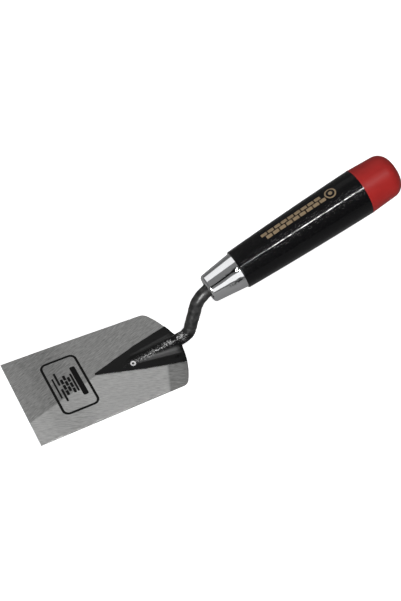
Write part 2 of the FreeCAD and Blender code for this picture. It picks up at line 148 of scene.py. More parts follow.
def make_piece(name, surfaces, material, sharp=40.0, replaced=(), weights=None):
    """One object from closed surfaces in millimetres: placed, shaded smooth and declared."""
    all_points, all_faces, offset = [], [], 0
    for points, groups in surfaces:
        if enclosed_volume(points, groups) < 0:
            groups = [faces[:, ::-1] for faces in groups]
        all_points.append(points)
        all_faces += [list(map(tuple, (faces + offset).tolist())) for faces in groups]
        offset += len(points)
    mesh = bpy.data.meshes.new(name)
    mesh.from_pydata(np.vstack(all_points) * MM, [], sum(all_faces, []))
    mesh.validate()
    mesh.polygons.foreach_set("use_smooth", np.ones(len(mesh.polygons), bool))
    mesh.set_sharp_from_angle(angle=math.radians(sharp))
    mesh.materials.append(material)
    for label, values in (weights or {}).items():
        mesh.attributes.new(label, "FLOAT", "POINT").data.foreach_set("value", values)
    piece = in_scene(name, mesh)
    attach(piece, "root")
    if replaced:
        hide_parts(*replaced)
    size = np.ptp(np.vstack(all_points), axis=0)
    print(f"{name}: {len(mesh.polygons)} faces, {size[0]:.1f} x {size[1]:.1f} x {size[2]:.1f} mm")


# %% Helpers for lines in a plane
def run(start, end, count):
    """Evenly spaced points on a straight line, without the last one."""
    share = np.linspace(0, 1, count, endpoint=False)[:, None]
    return np.asarray(start, float) * (1 - share) + np.asarray(end, float) * share


def arc(centre, radius, from_angle, to_angle, count):
    """Points on a circle between two angles in degrees, without the last one."""
    angle = np.radians(np.linspace(from_angle, to_angle, count, endpoint=False))
    return np.stack([centre[0] + radius * np.cos(angle),
                     centre[1] + radius * np.sin(angle)], axis=-1)


def outward(loop):
    """Unit normals of a closed anticlockwise loop, from the chord between neighbours."""
    chord = np.roll(loop, -1, axis=0) - np.roll(loop, 1, axis=0)
    normal = np.stack([chord[:, 1], -chord[:, 0]], axis=-1)
    return normal / np.linalg.norm(normal, axis=1, keepdims=True)


def corner_centre(start, way, inward, corner, middle, radius):
    """Centre of a corner circle that touches a line and, from inside, a larger circle.

    The centre slides along the line, one corner radius inside it, until its distance from the
    larger circle's middle is the difference of the two radii.
    """
    base = start + inward * corner - middle
    half = base @ way
    reach = -half + math.sqrt(half ** 2 - base @ base + (radius - corner) ** 2)
    return base + reach * way + middle


# %% [markdown]
# ## Shared shader groups
#
# Two effects turn up in several finishes. Grinding lines, wood pores and polishing marks are
# all noise stretched one way. Rough forging, lacquer, the chrome's painted dark reflection and
# worn print are noise at two sizes. Both groups put out plain values, and each material decides
# what the values do. They read Object coordinates, so the marks stay on the surface from every
# side.

# %% A small toolbox for node trees
def feed(tree, socket, value):
    """Link another socket to this one, or set a constant on it."""
    if isinstance(value, bpy.types.NodeSocket):
        tree.links.new(value, socket)
    else:
        socket.default_value = value


def add(tree, kind, inputs=None, **settings):
    """A node with its settings and its inputs, each a socket or a constant."""
    node = tree.nodes.new(kind)
    for key, value in settings.items():
        setattr(node, key, value)
    for key, value in (inputs or {}).items():
        feed(tree, node.inputs[key], value)
    return node


def calc(tree, operation, *values, clamp=False):
    """A Math node's result."""
    return add(tree, "ShaderNodeMath", dict(enumerate(values)), operation=operation,
               use_clamp=clamp).outputs[0]


def soft_step(tree, value, low, high):
    """0 below low, 1 above high, and a smooth ramp between them."""
    return add(tree, "ShaderNodeMapRange",
               {"Value": value, "From Min": low, "From Max": high},
               interpolation_type="SMOOTHSTEP").outputs["Result"]


def edge_at(tree, value, ends):
    """A soft step between two places given in millimetres."""
    return soft_step(tree, value, ends[0] * MM, ends[1] * MM)


def blend_colours(tree, share, first, second):
    """A Mix node on colours."""
    return add(tree, "ShaderNodeMix", {0: share, 6: first, 7: second},
               data_type="RGBA").outputs[2]


def grey(level):
    """A colour with the same level in red, green and blue."""
    return (level, level, level, 1)


def new_group(name, inputs, outputs):
    """A shader group with float and vector inputs, and float outputs."""
    group = bpy.data.node_groups.new(name, "ShaderNodeTree")
    for label, kind, default in inputs:
        socket = group.interface.new_socket(label, in_out="INPUT", socket_type=kind)
        if default is not None:
            socket.default_value = default
    for label in outputs:
        group.interface.new_socket(label, in_out="OUTPUT", socket_type="NodeSocketFloat")
    source = group.nodes.new("NodeGroupInput")
    drain = group.nodes.new("NodeGroupOutput")
    return group, source, drain


def use_group(tree, group, **inputs):
    """A shader group placed in a tree, with its own inputs."""
    return add(tree, "ShaderNodeGroup", inputs, node_tree=group)


# %% Stretched noise: grinding lines, wood pores and polishing marks
streaks, into, out = new_group(
    "stretched_lines",
    [("Vector", "NodeSocketVector", None), ("Length", "NodeSocketFloat", 0.02),
     ("Width", "NodeSocketFloat", 0.001)],
    ["Fine", "Broad"],
)
split = add(streaks, "ShaderNodeSeparateXYZ", {0: into.outputs["Vector"]})
squeezed = add(streaks, "ShaderNodeCombineXYZ", {
    0: calc(streaks, "DIVIDE", split.outputs[0], into.outputs["Length"]),
    1: calc(streaks, "DIVIDE", split.outputs[1], into.outputs["Width"]),
    2: calc(streaks, "DIVIDE", split.outputs[2], into.outputs["Width"]),
})
fine = add(streaks, "ShaderNodeTexNoise", {
    "Vector": squeezed.outputs[0], "Scale": 1.0, "Detail": 3.0, "Roughness": 0.6})
broad = add(streaks, "ShaderNodeTexNoise", {
    "Vector": squeezed.outputs[0], "Scale": 0.17, "Detail": 2.0, "Roughness": 0.5})
streaks.links.new(fine.outputs[0], out.inputs["Fine"])
streaks.links.new(broad.outputs[0], out.inputs["Broad"])

# %% Two sizes of noise: forging scale, lacquer skin and dipped coats
uneven, into, out = new_group(
    "uneven_skin",
    [("Vector", "NodeSocketVector", None), ("Size", "NodeSocketFloat", 0.001)],
    ["Grains", "Waves"],
)
scaled = add(uneven, "ShaderNodeVectorMath", {
    0: into.outputs["Vector"],
    3: calc(uneven, "DIVIDE", 1.0, into.outputs["Size"])}, operation="SCALE")
grains = add(uneven, "ShaderNodeTexNoise", {
    "Vector": scaled.outputs[0], "Scale": 1.0, "Detail": 2.5, "Roughness": 0.62})
waves = add(uneven, "ShaderNodeTexNoise", {
    "Vector": scaled.outputs[0], "Scale": 0.22, "Detail": 1.0, "Roughness": 0.4})
uneven.links.new(grains.outputs[0], out.inputs["Grains"])
uneven.links.new(waves.outputs[0], out.inputs["Waves"])
print("shader groups:", streaks.name, "and", uneven.name)


# %% A material with its Principled shader and Object coordinates
def new_material(name, metallic=0.0, **constants):
    """A material, its tree, its Principled node and its Object coordinate socket."""
    material = bpy.data.materials.new(name)
    material.use_nodes = True
    tree = material.node_tree
    shader = next(n for n in tree.nodes if n.type == "BSDF_PRINCIPLED")
    shader.inputs["Metallic"].default_value = metallic
    for label, value in constants.items():
        shader.inputs[label.replace("_", " ")].default_value = value
    place = tree.nodes.new("ShaderNodeTexCoord").outputs["Object"]
    return material, tree, shader, place


def paint(tree, shader, colour, marks, smoothest, spread):
    """The colour, and a roughness of smoothest + spread * marks, into the shader."""
    tree.links.new(colour, shader.inputs["Base Color"])
    tree.links.new(calc(tree, "MULTIPLY_ADD", marks, spread, smoothest),
                   shader.inputs["Roughness"])


def bump_into(tree, shader, height, strength, distance):
    """A bump from a height, into the shader's normal."""
    node = add(tree, "ShaderNodeBump", {
        "Height": height, "Strength": strength, "Distance": distance})
    tree.links.new(node.outputs["Normal"], shader.inputs["Normal"])


# %% [markdown]
# ## The blade's ground steel
#
# A trowel blade is ground on a belt in two passes. Each pass follows one side of the foot, so
# the scratches lean two ways and the halves meet on a line from the foot's tip to the front
# edge. The half that faces the light looks paler, and that paleness is painted into its colour
# as a painted highlight, with bands of painted reflection in it. The finish could be one noise
# over the whole plate, but then the two halves would not differ. So the same stretched noise is
# used twice, turned each way, and a mask along the meeting line picks one of them and gives the
# near half its painted highlight.

# %% Ground steel
GRIND_LEAN = {"far": 20.0, "near": -24.0}
GRIND_LENGTH, GRIND_WIDTH = 0.0045, 0.00050
FOOT_TIP_X, MEETING_SLOPE, MEETING_DROP, MEETING_BLUR = -5.0, 0.302, 1.0, (-0.6, 0.9)
# Where the bands of painted reflection begin and end, in millimetres along the blade.
PATCH_LEAN, REAR_PATCH, FRONT_PATCH = 0.41, (47.6, 50.0), (40.0, 54.0)
DARK_BAND_BEGINS, DARK_BAND_ENDS = (8.0, 30.0), (36.0, 56.0)
# The near half's paler tone is a painted highlight, and the changes on the next line are painted
# reflection in bands.
FAR_TONE, NEAR_SHEEN_TONE, BLUE_SHARE = 0.54, 0.84, 0.985
REAR_CHANGE, DARK_BAND_CHANGE, FRONT_CHANGE = -0.36, -0.10, 0.03
SCRATCH_CHANGE, CLOUD_CHANGE = 0.95, 0.07

blade_steel, tree, shader, place = new_material("ground_steel", metallic=1.0)
lines = {}
for half, lean in GRIND_LEAN.items():
    turned = add(tree, "ShaderNodeMapping", {
        "Vector": place, "Rotation": (0, 0, math.radians(-lean))})
    lines[half] = use_group(tree, streaks, Vector=turned.outputs[0],
                            Length=GRIND_LENGTH, Width=GRIND_WIDTH)
split = add(tree, "ShaderNodeSeparateXYZ", {0: place})
x, y = split.outputs[0], split.outputs[1]
meeting = calc(tree, "MULTIPLY_ADD", x, MEETING_SLOPE,
               (-FOOT_TIP_X * MEETING_SLOPE - MEETING_DROP) * MM)
near = edge_at(tree, calc(tree, "SUBTRACT", meeting, y), MEETING_BLUR)
# Masks of the painted reflection: a darker rear corner and a lighter front corner on the near
# half, and a darker band across the blade.
leaning = calc(tree, "MULTIPLY_ADD", y, -PATCH_LEAN, x)
rear_corner = calc(tree, "MULTIPLY", near, edge_at(tree, leaning, REAR_PATCH))
forward = calc(tree, "MULTIPLY", x, -1.0)
front_corner = calc(tree, "MULTIPLY", near, edge_at(tree, forward, FRONT_PATCH))
darker_band = calc(tree, "SUBTRACT", edge_at(tree, forward, DARK_BAND_BEGINS),
              edge_at(tree, forward, DARK_BAND_ENDS))


def by_half(output):
    """The near half's lines below the meeting line, the far half's above it."""
    return add(tree, "ShaderNodeMix", {
        0: near, 2: lines["far"].outputs[output], 3: lines["near"].outputs[output]}).outputs[0]


scratch, cloud = by_half("Fine"), by_half("Broad")
# Painted highlight: the near half gets a paler tone, then the painted reflection's bands change
# it.
tone = add(tree, "ShaderNodeMix", {0: near, 2: FAR_TONE, 3: NEAR_SHEEN_TONE}).outputs[0]
for mask, change in ((rear_corner, REAR_CHANGE), (darker_band, DARK_BAND_CHANGE),
                     (front_corner, FRONT_CHANGE),
                     (calc(tree, "SUBTRACT", scratch, 0.5), SCRATCH_CHANGE)):
    tone = calc(tree, "MULTIPLY_ADD", mask, change, tone)
tone = calc(tree, "MULTIPLY_ADD", calc(tree, "SUBTRACT", cloud, 0.5), CLOUD_CHANGE, tone,
            clamp=True)
steel_colour = add(tree, "ShaderNodeCombineColor", {
    0: tone, 1: tone, 2: calc(tree, "MULTIPLY", tone, BLUE_SHARE)})
paint(tree, shader, steel_colour.outputs[0], scratch, smoothest=0.26, spread=0.25)
bump_into(tree, shader, scratch, strength=0.25, distance=0.00002)
print("ground steel:", len(tree.nodes), "nodes")

# %% [markdown]
# ## The blade plate
#
# The real plate is thin spring steel, full thickness under the foot and ground thinner towards
# the front edge. It could be an extruded outline with a Bevel modifier. A bevel on a wedge
# leaves long thin faces, so the plate is made as rings instead: the outline shrinks to a pole
# on top, rolls over a small rounded edge, and shrinks to a pole underneath.

# %% Outline and thickness of the plate
FRONT_X, HEEL_X = -59.0, 59.0
HALF_FRONT, HALF_HEEL = 37.0, 34.8
HEEL_RADIUS, CORNER_RADIUS = 60.0, 6.0
HEEL_THICKNESS, FRONT_THICKNESS = 1.6, 0.9
HEEL_CENTRE_X = HEEL_X - HEEL_RADIUS
EDGE_POINTS, SIDE_POINTS, CORNER_POINTS, ARC_POINTS = 40, 60, 16, 60


def heel_x(y):
    """The heel arc: x of the circle round the heel's centre at a given y."""
    return HEEL_CENTRE_X + np.sqrt(HEEL_RADIUS ** 2 - np.asarray(y, float) ** 2)


def plate_top(x):
    """Full thickness behind the foot's tip, then a straight wedge down to the front edge."""
    share = np.clip((FOOT_TIP_X - x) / (FOOT_TIP_X - FRONT_X), 0, 1)
    return HEEL_THICKNESS + (FRONT_THICKNESS - HEEL_THICKNESS) * share


def plate_outline():
    """Front edge, straight sides, rounded heel corners and the heel arc, anticlockwise."""
    corner_x = float(heel_x(HALF_HEEL))
    side = math.atan2(HALF_HEEL - HALF_FRONT, corner_x - FRONT_X)
    way = np.array([math.cos(side), math.sin(side)])
    inward = np.array([way[1], -way[0]])
    centre = corner_centre(np.array([FRONT_X, HALF_FRONT]), way, inward, CORNER_RADIUS,
                           np.array([HEEL_CENTRE_X, 0]), HEEL_RADIUS)
    heel_angle = math.degrees(math.atan2(centre[1], centre[0] - HEEL_CENTRE_X))
    side_angle = 90 + math.degrees(side)
    touch = centre - CORNER_RADIUS * inward
    mirror = np.array([1, -1])
    return np.vstack([
        run((FRONT_X, HALF_FRONT), (FRONT_X, -HALF_FRONT), EDGE_POINTS),
        run((FRONT_X, -HALF_FRONT), touch * mirror, SIDE_POINTS),
        arc(centre * mirror, CORNER_RADIUS, -side_angle, -heel_angle, CORNER_POINTS),
        arc((HEEL_CENTRE_X, 0), HEEL_RADIUS, -heel_angle, heel_angle, ARC_POINTS),
        arc(centre, CORNER_RADIUS, heel_angle, side_angle, CORNER_POINTS),
        run(touch, (FRONT_X, HALF_FRONT), SIDE_POINTS),
    ])


print("plate thickness at the front and the heel, mm:", plate_top(FRONT_X), plate_top(HEEL_X))


# %% Make the plate
EDGE_ROUND = 0.22
RING_SHARES = [0.02, 0.3, 0.55, 0.75, 0.88, 0.95, 0.985]
loop = plate_outline()
inset = loop - outward(loop) * EDGE_ROUND
shares = np.array(RING_SHARES)[:, None, None]
quarter = np.radians(np.linspace(90, 0, 5))[:, None]


def plate_rings(below):
    """One face: the inset outline times each share, then a quarter circle out to the edge."""
    face = shares * inset
    rim = inset + (loop - inset) * np.cos(quarter)[..., None]
    drop = EDGE_ROUND * (1 - np.sin(quarter))
    top = np.vstack([plate_top(face[..., 0]), plate_top(rim[..., 0]) - drop])
    flat = np.vstack([0 * face[..., 0], 0 * rim[..., 0] + drop])
    return np.dstack([np.vstack([face, rim]), flat if below else top])


rings = np.vstack([plate_rings(False), plate_rings(True)[::-1]])
plate = closed_surface(rings, [(0, 0, HEEL_THICKNESS), (0, 0, 0)])
make_piece("blade_plate", [plate], blade_steel, replaced=["blade"])

# %% [markdown]
# ## The forging's black finish
#
# The foot and neck are one forging. After welding it is dipped in black lacquer, which fills
# the flat flanks to a gloss and lies thin over the rough ridge, where the scale's grains glint.
# The lacquer is a dark satin on the bar. One material covers both. Two weights stored at the
# pieces' points, the bare-metal weight and `hollow`, say where metal glints through and where
# the skin is dull, and height above the sole moves it from gloss black to satin grey. Part of
# the glint is a painted highlight along the ridge's near side and on the low bend, and the
# hollows' paler grey is a painted highlight too.

# %% Black lacquer over forged steel
SKIN_GRAIN, BAR_BEGINS = 0.00085, (9.5, 18.0)
# The hollows' grey is a painted highlight, and the glints' pale grey is partly one.
FLANK_BLACK, BAR_GREYS, HOLLOW_SHEEN_GREY, GLINT_GREY = 0.0035, (0.050, 0.095), 0.075, 0.72
GRAIN_PEAKS, BARE_LIFT, BAR_PATCHES = (0.56, 0.84), 0.22, (0.35, 0.65)
BAR_METAL, GLINT_METAL = 0.75, 0.6
GLOSS, BAR_DULLS, HOLLOW_DULLS, BARE_DULLS = 0.12, 0.27, 0.25, 0.14
GRAIN_HEIGHT, BARE_GRAIN_HEIGHT = 0.06, 1.2
WAVE_HEIGHT, BAR_WAVE_CHANGE = 0.35, -0.27

black_forging, tree, shader, place = new_material("black_forging", Specular_IOR_Level=0.26)
height_above_sole = add(tree, "ShaderNodeSeparateXYZ", {0: place}).outputs[2]
skin = use_group(tree, uneven, Vector=place, Size=SKIN_GRAIN)
on_bar = edge_at(tree, height_above_sole, BAR_BEGINS)


def stored(tree, label):
    """A weight from 0 to 1 that the piece stores at its own points."""
    return add(tree, "ShaderNodeAttribute", attribute_name=label).outputs["Fac"]


bare_and_sheen, hollow = stored(tree, "bare_and_sheen"), stored(tree, "hollow")
lifted = calc(tree, "MULTIPLY_ADD", bare_and_sheen, BARE_LIFT, skin.outputs["Grains"])
# Glint: pale metal grains, partly real bare metal and partly a painted highlight.
glint = calc(tree, "MULTIPLY", soft_step(tree, lifted, *GRAIN_PEAKS), bare_and_sheen)
bar_grey = blend_colours(tree, soft_step(tree, skin.outputs["Waves"], *BAR_PATCHES),
                         grey(BAR_GREYS[0]), grey(BAR_GREYS[1]))
base = blend_colours(tree, on_bar, grey(FLANK_BLACK), bar_grey)
# The hollows are painted paler: a painted highlight.
base = blend_colours(tree, hollow, base, grey(HOLLOW_SHEEN_GREY))
base = blend_colours(tree, glint, base, grey(GLINT_GREY))
satin = calc(tree, "MULTIPLY_ADD", on_bar, BAR_DULLS, GLOSS)
satin = calc(tree, "MULTIPLY_ADD", hollow, HOLLOW_DULLS, satin)
paint(tree, shader, base, bare_and_sheen, smoothest=satin, spread=BARE_DULLS)
tree.links.new(calc(tree, "MAXIMUM", calc(tree, "MULTIPLY", on_bar, BAR_METAL),
                    calc(tree, "MULTIPLY", glint, GLINT_METAL)), shader.inputs["Metallic"])
grain_share = calc(tree, "MULTIPLY_ADD", bare_and_sheen, BARE_GRAIN_HEIGHT, GRAIN_HEIGHT)
wave_share = calc(tree, "MULTIPLY_ADD", on_bar, BAR_WAVE_CHANGE, WAVE_HEIGHT)
height = calc(tree, "MULTIPLY_ADD", skin.outputs["Waves"], wave_share,
              calc(tree, "MULTIPLY", skin.outputs["Grains"], grain_share))
bump_into(tree, shader, height, strength=0.8, distance=0.0004)
print("black forging:", len(tree.nodes), "nodes")

# %% [markdown]
# ## The foot
#
# The foot is a long triangle of forged steel on the plate. A rounded ridge runs forward from
# the bar and sinks into it, with a hollow along each side. It could be sculpted, but its
# section is simple: a round crest, a hollow that touches both the crest and the flank, and a
# flank that slopes to a thin edge. So the height is a formula over the plate. The grid's
# stations bend with the heel arc, which keeps the foot's back flush with the blade's.

# %% Height of the foot above the plate
KNEE_LENGTH = 30.2
TIP_HALF, KNEE_HALF, FOOT_HALF = 0.6, 11.1, 18.4
FEATHER, TIP_VALLEY, KNEE_VALLEY, HEEL_VALLEY = 0.5, 0.6, 0.9, 1.4
NARROWEST_FLANK = 0.3
BAR_RADIUS, HOLLOW_RADIUS = 4.5, 5.0
RIDGE_START_X, HEEL_CREST, CREST_CURVE = 17.0, 7.9, 1.22
WELT_HEIGHT, WELT_SIDE, WELT_DRIFT, WELT_WIDTH = 0.40, 3.6, 3.4, 1.1
WELD_HEIGHT, WELD_PLACE, WELD_WIDTH = 0.32, (51.8, -11.0), 0.9
STATIONS = [FOOT_TIP_X, HEEL_X - KNEE_LENGTH, HEEL_X]


def foot_half(x):
    """Half width of the foot: straight from tip to knee, and straight from knee to heel."""
    return np.interp(x, STATIONS, [TIP_HALF, KNEE_HALF, FOOT_HALF])


def ramp(values, low, high):
    """0 below low, 1 above high, straight between."""
    return np.clip((values - low) / (high - low), 0, 1)


def foot_height(x, y):
    """Crest circle, hollow circle tangent to it, then a straight slope to the feather edge.

    The crest climbs from the valley as a power of the distance past the ridge's start. A
    bell-shaped welt is added beside the ridge on the far side, and a weld bead on the near
    flank.
    """
    across = np.abs(y)
    valley = np.interp(x, STATIONS, [TIP_VALLEY, KNEE_VALLEY, HEEL_VALLEY])
    share = np.clip((x - RIDGE_START_X) / (HEEL_X - RIDGE_START_X), 0, None)
    crest = valley + (HEEL_CREST - HEEL_VALLEY) * share ** CREST_CURVE
    bar_middle = crest - BAR_RADIUS
    hollow_middle = valley + HOLLOW_RADIUS
    between = (BAR_RADIUS + HOLLOW_RADIUS) ** 2 - (bar_middle - hollow_middle) ** 2
    hollow_y = np.sqrt(np.clip(between, 0, None))
    crest_end = hollow_y * BAR_RADIUS / (BAR_RADIUS + HOLLOW_RADIUS)
    round_top = bar_middle + np.sqrt(np.clip(BAR_RADIUS ** 2 - across ** 2, 0, None))
    hollow = hollow_middle - np.sqrt(
        np.clip(HOLLOW_RADIUS ** 2 - (hollow_y - across) ** 2, 0, None))
    flank_width = np.maximum(foot_half(x) - hollow_y, NARROWEST_FLANK)
    flank_share = np.clip((across - hollow_y) / flank_width, 0, 1)
    flank = valley + (FEATHER - valley) * flank_share
    height = np.where(across < crest_end, round_top, np.where(across < hollow_y, hollow, flank))
    welt_y = WELT_SIDE + WELT_DRIFT * ramp(x, 30, HEEL_X)
    welt = WELT_HEIGHT * ramp(x, 26, 42) * np.exp(-((y - welt_y) / WELT_WIDTH) ** 2)
    from_weld = (x - WELD_PLACE[0]) ** 2 + (y - WELD_PLACE[1]) ** 2
    return height + welt + WELD_HEIGHT * np.exp(-from_weld / WELD_WIDTH ** 2)


print(f"crest at the heel: {foot_height(HEEL_X, 0.0):.2f} mm above the plate")


# %% Make the foot
FOOT_ROWS, FOOT_COLUMNS = 190, 121
SINK, EDGE_MEETS_HEEL = 0.04, 55.9
# Columns crowd a little towards the edges. The last ones keep some width.
CROWDING, ALMOST_QUARTER = 0.45, math.pi / 2 * 0.999
# Forging is never quite straight: the edges wander by a tenth of a millimetre.
WANDER, QUICK_WANDER, SLOW_WANDER, SIDE_PHASE = 0.10, 0.55, 0.17, 1.3
along = np.linspace(0, 1, FOOT_ROWS)[:, None]
even = np.linspace(-1, 1, FOOT_COLUMNS)[None, :]
across = CROWDING * np.sin(even * ALMOST_QUARTER) + (1 - CROWDING) * even
heel_half = foot_half(EDGE_MEETS_HEEL)
grid_x = FOOT_TIP_X + along * (heel_x(across * heel_half) - FOOT_TIP_X)
grid_y = across * foot_half(FOOT_TIP_X + along * (EDGE_MEETS_HEEL - FOOT_TIP_X))
wander = WANDER * np.sin(grid_x * QUICK_WANDER + SIDE_PHASE * np.sign(grid_y)) * np.sin(
    grid_x * SLOW_WANDER)
grid_y = grid_y + wander * np.abs(across) ** 4
floor_z = plate_top(grid_x) - SINK
top = np.dstack([grid_x, grid_y, floor_z + SINK + foot_height(grid_x, grid_y)])
foot = closed_sheet(top, np.dstack([grid_x, grid_y, floor_z]))
foot_x, foot_y = foot[0][:, 0], foot[0][:, 1]

# %% Where metal glints through on the foot, partly a painted highlight, and where its skin is dull and painted paler
# A band along the ridge's near side, where a highlight falls, glints: bare grains with a painted
# highlight.
BARE_SHEEN_SIDE, BARE_SHEEN_DRIFT, BARE_SHEEN_WIDTH, BARE_SHEEN_IN_FRONT = -3.0, 2.4, 2.3, 0.62
INNER_SIDE, INNER_DRIFT, OUTER_SIDE, OUTER_DRIFT = 3.4, 1.8, 5.2, 5.0
# The far hollow gets less of the weight than the near one: less painted highlight and less
# dulling.
FAR_HOLLOW = 0.6
# The numbers in each ramp say where it starts and ends, in millimetres.
from_line = foot_y - BARE_SHEEN_SIDE - BARE_SHEEN_DRIFT * ramp(foot_x, 20, 58)
foot_bare_and_sheen = (BARE_SHEEN_IN_FRONT + (1 - BARE_SHEEN_IN_FRONT) * ramp(foot_x, 44, 58)) * ramp(
    foot_x, 14, 26) * np.exp(-(from_line / BARE_SHEEN_WIDTH) ** 2)
widening = ramp(foot_x, 28, HEEL_X)
inner = INNER_SIDE + INNER_DRIFT * widening
outer = OUTER_SIDE + OUTER_DRIFT * widening
foot_hollow = (ramp(np.abs(foot_y), inner - 0.7, inner + 0.3)
               * (1 - ramp(np.abs(foot_y), outer - 0.6, outer + 0.4))
               * ramp(foot_x, 22, 32) * (1 - ramp(foot_x, 53, 57))
               * np.where(foot_y < 0, 1.0, FAR_HOLLOW))
make_piece("forged_foot", [foot], black_forging, sharp=35,
           weights={"bare_and_sheen": foot_bare_and_sheen, "hollow": foot_hollow})

# %% [markdown]
# ## The swan neck
#
# The neck is a round bar bent twice in one plane. It could be a Bezier curve with a bevel, but
# the bends are true arcs between straight runs. So the bar's slope is written as a function of
# the length along it: constant on a run, changing evenly in a bend. Adding up the cosine and
# sine of the slope gives the centre line, and a circle is carried along it.

# %% Centre line of the neck
RUN_SLOPE, RISER_SLOPE, AXIS_SLOPE = 13.0, 79.5, 20.0
LOW_BEND, TOP_BEND = 8.0, 20.0
BAR_UNDERSIDE = 0.5
OVERLAP = 6.0
# The corner is where the riser's line meets the handle's axis.
CORNER = np.array([HEEL_X + 14.1, 42.9])
INTO_FERRULE = 16.0


def heading(degrees):
    """The unit step at an angle above level."""
    return np.array([math.cos(math.radians(degrees)), math.sin(math.radians(degrees))])


start = np.array([HEEL_X, BAR_UNDERSIDE + BAR_RADIUS]) - heading(RUN_SLOPE) * (
    OVERLAP / math.cos(math.radians(RUN_SLOPE)))
gap = CORNER - start
first, second = heading(RUN_SLOPE), heading(RISER_SLOPE)
reach = ((gap[0] * second[1] - gap[1] * second[0])
         / (first[0] * second[1] - first[1] * second[0]))
low_corner = start + first * reach
low_trim = LOW_BEND * math.tan(math.radians(RISER_SLOPE - RUN_SLOPE) / 2)
top_trim = TOP_BEND * math.tan(math.radians(RISER_SLOPE - AXIS_SLOPE) / 2)
lengths = np.cumsum([
    0, reach - low_trim, LOW_BEND * math.radians(RISER_SLOPE - RUN_SLOPE),
    np.linalg.norm(CORNER - low_corner) - low_trim - top_trim,
    TOP_BEND * math.radians(RISER_SLOPE - AXIS_SLOPE), INTO_FERRULE - top_trim,
])
slopes = [RUN_SLOPE, RUN_SLOPE, RISER_SLOPE, RISER_SLOPE, AXIS_SLOPE, AXIS_SLOPE]
NECK_ROWS, NECK_COLUMNS = 301, 72
travel = np.linspace(0, lengths[-1], NECK_ROWS)
slope = np.radians(np.interp(travel, lengths, slopes))
step = np.diff(travel, prepend=0)
middle_slope = (slope + np.roll(slope, 1)) / 2
centre_x = start[0] + np.cumsum(np.cos(middle_slope) * step)
centre_z = start[1] + np.cumsum(np.sin(middle_slope) * step)
print(f"neck: {lengths[-1]:.1f} mm of bar, ends at x {centre_x[-1]:.2f}, z {centre_z[-1]:.2f}")

# %% Make the neck
# Each wave of lumps: its height, its rate along the bar, its waves around, and its phase.
LUMPS = [(0.07, 0.9, 2, 0.0), (0.05, 0.37, -3, 1.0)]
turn = np.linspace(0, 2 * math.pi, NECK_COLUMNS, endpoint=False)[None, :]
radius = BAR_RADIUS + sum(size * np.sin(travel[:, None] * rate + around * turn + phase)
                          for size, rate, around, phase in LUMPS)
out_of_bend = radius * np.cos(turn)
neck_x = centre_x[:, None] - np.sin(slope)[:, None] * out_of_bend
neck_z = centre_z[:, None] + np.cos(slope)[:, None] * out_of_bend
neck_y = radius * np.sin(turn)
# Over the plate the bar is forged flat on it.
neck_z = np.where(neck_x < heel_x(neck_y), np.maximum(neck_z, HEEL_THICKNESS - SINK), neck_z)
rings = np.dstack([neck_x, neck_y, neck_z])
neck = closed_surface(rings, [rings[0].mean(axis=0), rings[-1].mean(axis=0)])
# A painted highlight on top of the low bend, a little towards the near side, stored in the
# bare-metal weight.
SHEEN_TRAVEL, SHEEN_LENGTH, SHEEN_ANGLE, SHEEN_WIDTH = 9.0, 4.2, -0.30, 0.75
low_bend_sheen = np.exp(-((travel[:, None] - SHEEN_TRAVEL) / SHEEN_LENGTH) ** 2
                - (2 * np.sin((turn - SHEEN_ANGLE) / 2) / SHEEN_WIDTH) ** 2)
make_piece("swan_neck", [neck], black_forging, replaced=["shank"],
           weights={"bare_and_sheen": np.concatenate([low_bend_sheen.ravel(), [0.0, 0.0]])})

# %% [markdown]
# ## Turned pieces on the handle's axis
#
# Ferrule, handle and dipped end share one axis. A turned piece is a profile, distance along the
# axis against radius, carried round in a circle. Both may be whole arrays that change with the
# angle, so a punched dimple is only a small dip in the radius at one place. The angle is zero
# on top of the handle and grows towards the near side.

# %% Turn a profile round the handle's axis
FERRULE_START, SHOULDER, CAP_START, HANDLE_END = 7.2, 31.8, 130.5, 159.4
AXIS = heading(AXIS_SLOPE)
TURNS = 168
turn_angle = np.linspace(0, 2 * math.pi, TURNS, endpoint=False)[None, :]
print("handle axis:", AXIS.round(3), "from the corner at", CORNER, "mm")


def on_axis(along, radius, angle):
    """Corner point + along * axis + radius * (cos angle * up - sin angle * sideways)."""
    up = radius * np.cos(angle)
    along, up, angle = np.broadcast_arrays(along, up, angle)
    return np.stack([CORNER[0] + along * AXIS[0] - up * AXIS[1],
                     -(radius * np.sin(angle)) * np.ones_like(up),
                     CORNER[1] + along * AXIS[1] + up * AXIS[0]], axis=-1)


def bump_at(along, angle, radius, place, widths):
    """A smooth bell of height 1 at one place, with a width along and a width around."""
    place_along, place_angle = place
    sideways = (angle - math.radians(place_angle) + math.pi) % (2 * math.pi) - math.pi
    return np.exp(-((along - place_along) / widths[0]) ** 2
                  - (sideways * radius / widths[1]) ** 2)


# %% [markdown]
# ## The ferrule
#
# The ferrule is a drawn steel cup, chromed, pressed over the wood and held by punched dimples
# near its rear edge. At the lowest dimple the metal has been pushed out over the wood. It could
# be the plain CAD cup with a bump for each punch mark, but chrome shows every dent as a bend in
# its reflections, so the dents are in the shape. Dark patches in the hollows beside them are a
# painted reflection, the dark that the dents' steep sides would mirror, given as a weight stored
# at the cup's points.

# %% Chrome plating
PLATING = ((0.74, 0.745, 0.76, 1), (0.86, 0.865, 0.875, 1))
# Painted reflection: dark grey blotches beside the dents.
DARK_REFLECTION_GREY, DARK_REFLECTION_GRAINS = 0.13, (0.34, 0.52)
chrome, tree, shader, place = new_material("chrome_plate", metallic=1.0)


def up_the_handle(tree, place):
    """Coordinates whose X runs along the handle's axis from the corner."""
    return add(tree, "ShaderNodeMapping", {
        "Vector": place, "Location": (CORNER[0] * MM, 0, CORNER[1] * MM),
        "Rotation": (0, -math.radians(AXIS_SLOPE), 0)}, vector_type="TEXTURE").outputs[0]


